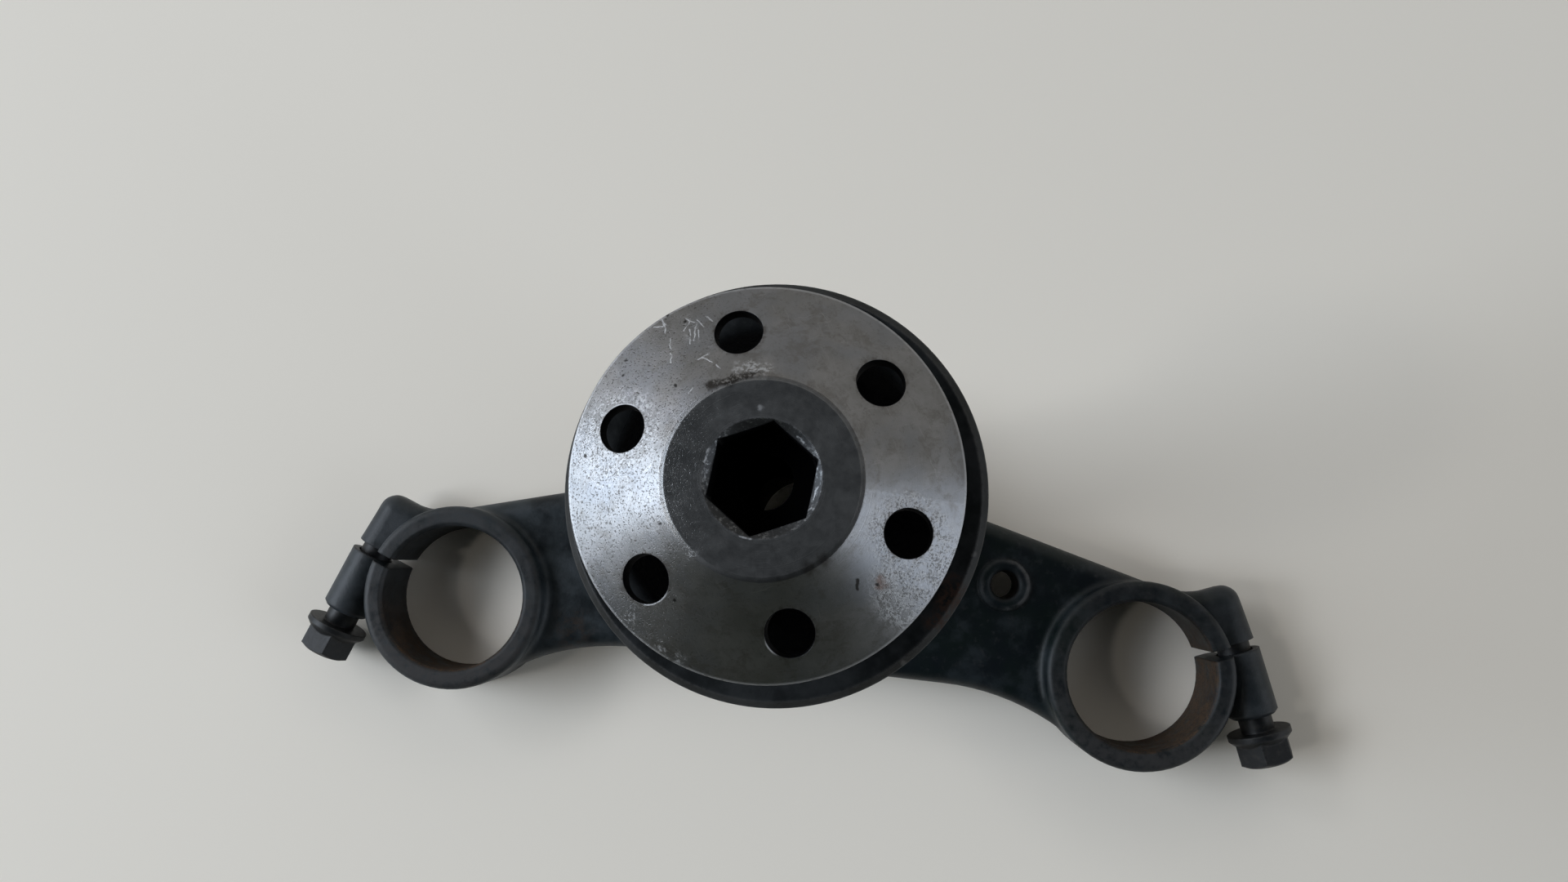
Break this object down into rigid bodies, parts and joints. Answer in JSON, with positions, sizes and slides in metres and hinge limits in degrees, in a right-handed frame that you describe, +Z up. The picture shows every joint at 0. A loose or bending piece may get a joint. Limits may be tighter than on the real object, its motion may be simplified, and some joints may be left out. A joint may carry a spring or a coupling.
{
  "type": "motorcycle triple clamp",
  "caption": "Motorcycle fork yoke with split clamp rings, a hollow steering stem, a skirted adjuster nut and a drilled cone-headed stem bolt with a hexagon socket.",
  "frame": {"origin": "on the steering axis, in the plane that the undersides of the fork rings stand on", "axes": "+Z up the steering stem, +X across the yoke towards the arm with the small tapped boss, -Y towards the fork tubes, which stand in front of the stem"},
  "size_m": [0.253, 0.0842, 0.1719],
  "materials": {
    "yoke_paint": "satin black paint, worn",
    "stem_steel": "turned, oily",
    "washer_steel": "plain sheet steel",
    "seal_rubber": "matt",
    "race_steel": "hardened and ground",
    "nut_black": "satin black, chipped rim",
    "bolt_steel": "turned and worn",
    "pinch_bolt_black": "dull black"
  },
  "bodies": {
    "root": {"lower_yoke": "yoke_paint", "steering_stem": "stem_steel", "dust_seal_washer": "washer_steel", "lower_dust_seal": "seal_rubber", "lower_cone_race": "race_steel", "adjuster_nut": "nut_black", "stem_bolt": "bolt_steel", "pinch_bolts": "pinch_bolt_black"}
  },
  "joints": []
}
